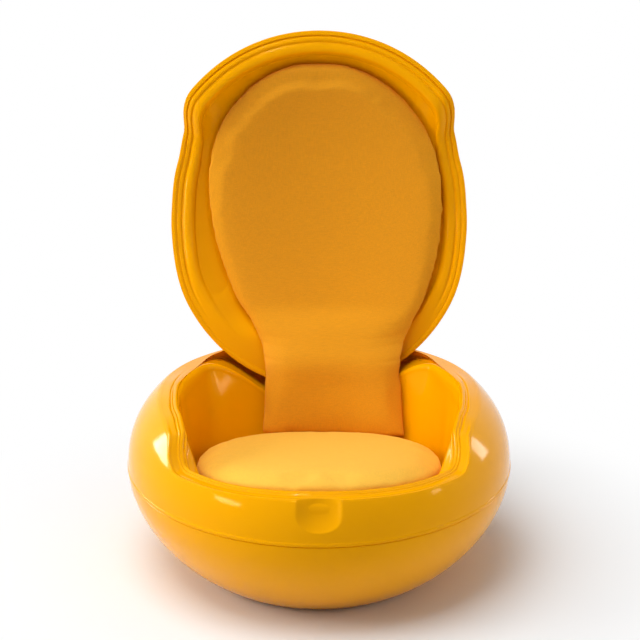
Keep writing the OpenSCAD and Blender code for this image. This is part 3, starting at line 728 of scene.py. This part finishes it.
class PODCHAIR_OT_lid(bpy.types.Operator):
    """Makes the lid's outer dome and its liner"""

    bl_idname = "podchair.lid"
    bl_label = "Lid"

    def dome_ring(self, az, share, t):
        """A ring of the dome, drawn in by a share and inside a skin of thickness t."""
        edge = lid_edge(az)
        p = egg(az, edge)
        x, y = p[:, 0] * (1 - share), p[:, 1] * (1 - share)
        return np.stack([x, y, dome(x, y, t)], -1)

    def bowl_ring(self, az, d):
        """A ring of the lid's inner face, d inwards from the edge: cove and dish."""
        p = egg(az, lid_edge(az))
        k = lid_tail(az)
        near = inward(p, d, 0.0)
        climb = BAND_RISE + BAND_SLOPE * (min(d, BAND_END) - BAND_START)
        band = p[:, 2] + mix(climb, LID_RISE * FLANGE_SHARE, k)
        cove = COVE_DEPTH * smooth(44, 56, d) * (1 - smooth(76, 120, d)) * (1 - k)
        low = dish(near[:, 0], near[:, 1], LID_DEPTH) + cove
        return inward(p, d, np.maximum(band, mix(band, low, smooth(43, 54, d))))

    def execute(self, context):
        look = context.scene.pod_shell
        az = around(look)
        edge = lid_edge(az)
        shares = (0.97, 0.9, 0.8, 0.7, 0.6, 0.5, 0.4, 0.31, 0.23, 0.16, 0.1, 0.06, 0.03, 0.012)
        rings = [self.dome_ring(az, s, 0.0) for s in shares]
        rings += [egg(az, edge + 2.6), egg(az, edge + 1.0, 0.2), egg(az, edge, 1.2),
                  egg(az, edge, 3.0), egg(az, edge, WALL)]
        lip = ((9.0, 0.1), (9.7, 0.6), (9.9, 2.0), (9.5, 3.6))
        rings += [lid_rim_point(az, *s) for s in lip]
        rings += [self.dome_ring(az, s, WALL) for s in (0.14, 0.3, 0.46, 0.62, 0.76, 0.88)]
        piece = ring_mesh("lid_dome", opened(rounded(rings)))
        plastic = bpy.data.materials["lacquered_plastic"]
        dress(piece, plastic, "lid", "shell", "lid_shell")

        back = LID_DEPTH - LINER_WALL
        rings = [dish_ring(az, s, back) for s in (0.69, 0.44, 0.23, 0.06)]
        rings += [lid_rim_point(az, 24.0, 6.0, LINER_WALL * 0.9),
                  lid_rim_point(az, 12.0, 4.0, LINER_WALL * 0.6)]
        rings += [lid_rim_point(az, *s) for s in LID_STEPS]
        rings += [self.bowl_ring(az, d) for d in (
            47.5, 50.0, 52.5, 55.0, 58.0, 62.0, 67.0, 72.0, 78.0, 85.0,
            93.0, 103.0, 115.0, 130.0, 150.0, 175.0, 200.0, 225.0, 250.0, 270.0, 285.0)]
        piece = ring_mesh("lid_liner_skin", opened(rounded(rings)))
        dress(piece, plastic, "lid", "shell", "lid_liner")
        return {"FINISHED"}


# Cushions

def swollen(piece, look):
    """Remeshes a cushion evenly and lets air pressure swell it, within a limit."""
    remesh = piece.modifiers.new("even", "REMESH")
    remesh.mode = "VOXEL"
    remesh.voxel_size = VOXEL
    apply_modifiers(piece)
    relax(piece, 6)
    start = points_of(piece)
    cloth = piece.modifiers.new("air", "CLOTH")
    cloth.settings.use_pressure = True
    cloth.settings.uniform_pressure_force = look.pressure
    cloth.settings.mass = 0.25
    cloth.settings.tension_stiffness = 12.0
    cloth.settings.compression_stiffness = 12.0
    cloth.settings.bending_stiffness = 0.6
    cloth.settings.effector_weights.gravity = 0.0
    cloth.point_cache.frame_start = 1
    cloth.point_cache.frame_end = CLOTH_FRAMES
    scene = bpy.context.scene
    for number in range(1, CLOTH_FRAMES + 1):
        scene.frame_set(number)
    shape = piece.evaluated_get(bpy.context.evaluated_depsgraph_get())
    end = np.empty(len(start) * 3)
    shape.data.vertices.foreach_get("co", end)
    end = end.reshape(-1, 3)
    piece.modifiers.remove(cloth)
    scene.frame_set(1)
    move = end - start
    length = np.linalg.norm(move, axis=1)
    far = length > 1e-9
    scale = np.ones_like(length)
    scale[far] = look.swell * np.tanh(length[far] / look.swell) / length[far]
    move_points(piece, start + move * scale[:, None])
    relax(piece, 2)
    piece.data.shade_smooth()


def apply_modifiers(piece):
    """Gives a piece the mesh that its modifiers make."""
    shape = piece.evaluated_get(bpy.context.evaluated_depsgraph_get())
    mesh = bpy.data.meshes.new_from_object(shape)
    old = piece.data
    mesh.name = old.name
    piece.modifiers.clear()
    piece.data = mesh
    bpy.data.meshes.remove(old)


def points_of(piece):
    flat = np.empty(len(piece.data.vertices) * 3)
    piece.data.vertices.foreach_get("co", flat)
    return flat.reshape(-1, 3)


def move_points(piece, points):
    piece.data.vertices.foreach_set("co", points.ravel())
    piece.data.update()


def relax(piece, rounds, where=1.0):
    """Moves each point towards the middle of its neighbours, as far as where says."""
    points = points_of(piece)
    edges = np.empty(len(piece.data.edges) * 2, int)
    piece.data.edges.foreach_get("vertices", edges)
    a, b = edges[0::2], edges[1::2]
    count = np.bincount(edges, minlength=len(points))[:, None]
    for _ in range(rounds):
        total = np.zeros_like(points)
        np.add.at(total, a, points[b])
        np.add.at(total, b, points[a])
        points = mix(points, total / count, 0.6 * where)
    move_points(piece, points)


def refined(piece):
    """Subdivides a cushion once."""
    finer = piece.modifiers.new("finer", "SUBSURF")
    finer.levels = finer.render_levels = 1
    apply_modifiers(piece)
    piece.data.shade_smooth()


def seat_lift(share):
    """Height of the seat cushion above the well's floor: crowned, lower at its edge."""
    return SEAT_PAD + SEAT_CROWN * (1 - np.clip(share, 0, 1) ** 3)


def seat_top(x, y):
    share = ((np.abs(x) / (WELL_X - SEAT_ROOM)) ** WELL_POWER
             + (np.abs(y - WELL_MID) / (WELL_D - SEAT_ROOM)) ** WELL_POWER) ** (1 / WELL_POWER)
    return floor_at(y) + seat_lift(share)


class PODCHAIR_OT_seat_cushion(bpy.types.Operator):
    """Makes the crowned seat cushion"""

    bl_idname = "podchair.seat_cushion"
    bl_label = "Seat cushion"

    def ring(self, az, grow, lift):
        """A ring round the cushion, grown outwards and lifted off the well's floor."""
        x, y = full_oval(az, WELL_X - SEAT_ROOM + grow, WELL_D - SEAT_ROOM + grow, WELL_POWER)
        y = y + WELL_MID
        return np.stack([x, y, floor_at(y) + lift], -1)

    def execute(self, context):
        look = context.scene.pod_cushion
        az = np.arange(144) * 2.5
        wide = WELL_X - SEAT_ROOM
        rings = [self.ring(az, -(1 - s) * wide, seat_lift(s))
                 for s in (0.12, 0.35, 0.6, 0.8, 0.92, 0.975)]
        rings += [self.ring(az, COVE * out, SEAT_PAD * up + 0.5) for out, up in (
            (0.0, 0.93), (0.06, 0.76), (0.0, 0.5), (-0.17, 0.34), (-0.7, 0.12), (-1.3, 0.02),
            (-5.0, 0.02))]
        piece = ring_mesh("seat_cushion_cover", rings)
        swollen(piece, look)
        refined(piece)
        dress(piece, bpy.data.materials["seat_cloth"], "base", "cushion", "seat_cushion")
        return {"FINISHED"}


def back_half(y):
    """Half width of the back cushion: an oval that runs out into the strip."""
    up = np.sqrt(np.clip(1 - np.clip((WIDE_Y - y) / (WIDE_Y - TIP_Y), 0, 1) ** 2.2, 0, 1))
    down = (1 - np.clip((y - WIDE_Y) / (STRIP_Y - WIDE_Y), 0, 1) ** 2) ** 1.15
    return np.where(y < WIDE_Y, BACK_X * up, STRIP_X + (BACK_X - STRIP_X) * down)


def pad_depth(u, v=0.0):
    """Depth of the back cushion: u is 1 at its sides, v is 1 at its tip."""
    crown = (1 - np.abs(u) ** 4) * (1 - np.clip(v, 0, 1) ** 16)
    return BACK_PAD * mix(0.16, 1.0, np.clip(crown, 0, 1) ** 0.7)


class PODCHAIR_OT_back_cushion(bpy.types.Operator):
    """Makes the back cushion, which runs from the lid down to the seat"""

    bl_idname = "podchair.back_cushion"
    bl_label = "Back cushion"

    def sheets(self):
        """Back and front of the cushion, as rows from its tip to its foot."""
        u = np.sin(np.radians(90 * np.linspace(-1, 1, 33)))
        back, front = [], []
        for i in range(49):
            t = i / 48
            spread = mix(t, (1 - math.cos(math.pi * t)) / 2, 0.7)
            y = mix(TIP_Y + 2, BACK_END, spread)
            v = (WIDE_Y - y) / (WIDE_Y - TIP_Y)
            x = BACK_DRIFT * (y - TIP_Y) / (BACK_END - TIP_Y) + u * back_half(y)
            z = dish(x, y, LID_DEPTH) - PAD_GAP
            yy = y + 0 * x
            back.append(opened(np.stack([x, yy, z], -1)))
            front.append(opened(np.stack([x, yy, z - pad_depth(u, v)], -1)))
        low_back, low_front = [], []
        for i in range(13):
            t = 1 - i / 12
            x = BACK_DRIFT + u * STRIP_X
            bow = STRIP_BOW * (1 - 0.44 * t) * (x / 168) ** 2
            rear = RIDGE_Y - mix(37.0, 7.0, t) - bow
            for sheet, y in ((low_back, rear), (low_front, rear - pad_depth(u))):
                foot = seat_top(x, y) - STRIP_SINK
                sheet.append(np.stack([x, y, mix(foot, STRIP_TOP, t)], -1))
        for sheet, low in ((back, low_back), (front, low_front)):
            top, bottom = sheet[-1], low[0]
            for i in range(1, 8):
                t = i / 8
                bow = np.array([0.0, FOLD_BOW * math.sin(math.pi * t), 0.0])
                sheet.append(mix(top, bottom, t) - bow)
            sheet += low
        return np.array(back), np.array(front)

    def execute(self, context):
        look = context.scene.pod_cushion
        back, front = self.sheets()
        rings = np.concatenate([back, front[:, ::-1]], axis=1)
        piece = ring_mesh("back_cushion_cover", rings)
        swollen(piece, look)
        relax(piece, 30, passing(FOLD_Z, points_of(piece)[:, 2] / MM))
        refined(piece)
        self.wrinkle(piece)
        piece.data.materials.clear()
        piece.data.materials.append(bpy.data.materials["back_cloth"])
        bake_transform(piece)
        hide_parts("back_cushion", "back_cushion_fold", "lower_back_cushion")
        return {"FINISHED"}

    def wrinkle(self, piece):
        """Short creases at the cushion's edges above the hinge."""
        points = points_of(piece)
        normals = np.empty(len(points) * 3)
        piece.data.vertices.foreach_get("normal", normals)
        normals = normals.reshape(-1, 3)
        x, z = points[:, 0] / MM, points[:, 2] / MM
        side = np.abs(x - CREASE_X)
        near = np.clip(side / CREASE_REACH, 0, 1) ** 2.2
        depth = np.zeros(len(points))
        for place, lean, amount in CREASES:
            depth += amount * np.exp(-((z - place - lean * side) / CREASE_W) ** 2)
        move_points(piece, points - normals * (depth * near * MM)[:, None])


class PODCHAIR_OT_fittings(bpy.types.Operator):
    """Gives the hinges, screws, stops and tapes their finishes"""

    bl_idname = "podchair.fittings"
    bl_label = "Fittings"

    def execute(self, context):
        finishes = {"brushed_metal": ("hinge_base_leaves", "hinge_lid_leaves", "hinge_pins",
                                      "hinge_base_screws", "hinge_lid_screws",
                                      "lid_stop_screws"),
                    "dark_rubber": ("lid_stops",), "hook_tape": ("lid_pad_tapes",)}
        for name, nodes in finishes.items():
            for node in nodes:
                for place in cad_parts[node].material_slots:
                    place.material = bpy.data.materials[name]
        return {"FINISHED"}


class PODCHAIR_OT_finishes(bpy.types.Operator):
    """Makes the plastic, cloth, metal and rubber"""

    bl_idname = "podchair.finishes"
    bl_label = "Finishes"

    def execute(self, context):
        shell, cushion = context.scene.pod_shell, context.scene.pod_cushion
        lacquered_plastic(shell)
        # One cloth made twice: the back's copy in painted shade and the seat's copy in painted
        # light.
        woven_cloth(cushion, "back_cloth", cushion.back_colour_painted_shade, False)
        woven_cloth(cushion, "seat_cloth", cushion.seat_colour_painted_light, True)
        brushed_metal()
        dark_rubber()
        hook_tape()
        return {"FINISHED"}


class PODCHAIR_OT_stage(bpy.types.Operator):
    """Makes the floor, the lamps and the camera"""

    bl_idname = "podchair.stage"
    bl_label = "Stage"

    def lamp(self, name, place, width, height, power, glint):
        """A lamp aimed at the chair, which either glints in the gloss or lights softly."""
        data = bpy.data.lights.new(name, "AREA")
        data.shape = "RECTANGLE"
        data.size, data.size_y, data.energy = width, height, power
        lamp = bpy.data.objects.new(name, data)
        bpy.context.scene.collection.objects.link(lamp)
        lamp.location = place
        aim = Vector((0, 0, 0.4)) - Vector(place)
        lamp.rotation_euler = aim.to_track_quat("-Z", "Y").to_euler()
        lamp.visible_glossy = glint
        lamp.visible_diffuse = not glint

    def place(self, azimuth, rise):
        """A lamp's place, seen from the chair at an azimuth from its front and a rise."""
        a, e = math.radians(azimuth), math.radians(rise)
        return (LAMP_DISTANCE * math.sin(a) * math.cos(e),
                -LAMP_DISTANCE * math.cos(a) * math.cos(e), 0.3 + LAMP_DISTANCE * math.sin(e))

    def floor(self):
        """A wide pale floor that is white but for the chair's shadow."""
        half = 14.0
        mesh = bpy.data.meshes.new("studio_floor")
        mesh.from_pydata([(-half, -half, 0), (half, -half, 0), (half, half, 0),
                          (-half, half, 0)], [], [(0, 1, 2, 3)])
        floor = bpy.data.objects.new("studio_floor", mesh)
        bpy.context.scene.collection.objects.link(floor)
        floor.location.z = -0.0005
        finish = Finish("pale_floor", **{
            "Base Color": (0.8, 0.8, 0.8, 1), "Roughness": 1.0, "Specular IOR Level": 0.0})
        x, y, _ = finish.axes(finish.place())
        away = finish.limit((x * x + y * y) ** 0.5, 0.3, 0.9)
        glow = finish.wire("ShaderNodeEmission", {}, {"Color": (1, 1, 1, 1)})
        plain = Wire(finish, finish.shader.outputs[0])
        white = finish.wire("ShaderNodeMixShader", {}, {
            0: finish.white_rays() * away, 1: plain, 2: glow})
        finish.put(white, finish.output.inputs[0])
        mesh.materials.append(finish.material)

    def world(self, sky):
        """Even light from all round, which is seen as white."""
        world = bpy.data.worlds.new("studio")
        bpy.context.scene.world = world
        world.use_nodes = True
        nodes = Nodes(world.node_tree)
        strength = nodes.wire("ShaderNodeMapRange", {}, {
            "Value": nodes.white_rays(), "To Min": sky, "To Max": 1.0})
        back = nodes.wire("ShaderNodeBackground", {}, {
            "Color": (1, 1, 1, 1), "Strength": strength})
        nodes.node("ShaderNodeOutputWorld", {}, {"Surface": back})

    def execute(self, context):
        look = context.scene.pod_stage
        self.world(look.sky)
        self.floor()
        self.lamp("top_soft", TOP_LAMP, *TOP_LAMP_SIZE, look.lamp * TOP_SHARE, False)
        for lamps, glint in ((SOFT_LAMPS, False), (GLINT_LAMPS, True)):
            for name, azimuth, rise, width, height, share in lamps:
                self.lamp(name, self.place(azimuth, rise), width, height, look.lamp * share,
                          glint)
        data = bpy.data.cameras.new("photo_camera")
        data.lens = look.lens
        data.sensor_width = 36.0
        data.shift_x, data.shift_y = look.shift
        camera = bpy.data.objects.new("photo_camera", data)
        context.scene.collection.objects.link(camera)
        rise = math.radians(look.rise)
        camera.location = (0.0, -look.distance * math.cos(rise),
                           0.48 + look.distance * math.sin(rise))
        camera.rotation_euler = (math.pi / 2 - rise, 0, 0)
        context.scene.camera = camera
        context.scene.view_settings.view_transform = "Standard"
        return {"FINISHED"}


class PODCHAIR_PT_panel(bpy.types.Panel):
    """Lists the chair's pieces"""

    bl_idname = "PODCHAIR_PT_panel"
    bl_label = "Pod Chair"
    bl_space_type = "VIEW_3D"
    bl_region_type = "UI"
    bl_category = "Pod Chair"

    def draw(self, context):
        for operator in PIECES:
            self.layout.operator(operator.bl_idname)
        for group in ("pod_shell", "pod_cushion", "pod_stage"):
            box = self.layout.box()
            look = getattr(context.scene, group)
            for name in look.__annotations__:
                box.prop(look, name)


LOOKS = {"pod_shell": PodShellLook, "pod_cushion": PodCushionLook, "pod_stage": PodStageLook}
# In the order in which main calls them
PIECES = (PODCHAIR_OT_finishes, PODCHAIR_OT_stage, PODCHAIR_OT_lower_shell,
          PODCHAIR_OT_upper_shell, PODCHAIR_OT_lid, PODCHAIR_OT_seat_cushion,
          PODCHAIR_OT_back_cushion, PODCHAIR_OT_fittings)
CLASSES = (*LOOKS.values(), *PIECES, PODCHAIR_PT_panel)


def register():
    for cls in CLASSES:
        bpy.utils.register_class(cls)
    for name, cls in LOOKS.items():
        setattr(bpy.types.Scene, name, PointerProperty(type=cls))


def unregister():
    for name in LOOKS:
        delattr(bpy.types.Scene, name)
    for cls in reversed(CLASSES):
        bpy.utils.unregister_class(cls)


def main():
    register()
    for operator in PIECES:
        group, name = operator.bl_idname.split(".")
        getattr(getattr(bpy.ops, group), name)()


if __name__ == "__main__":
    main()
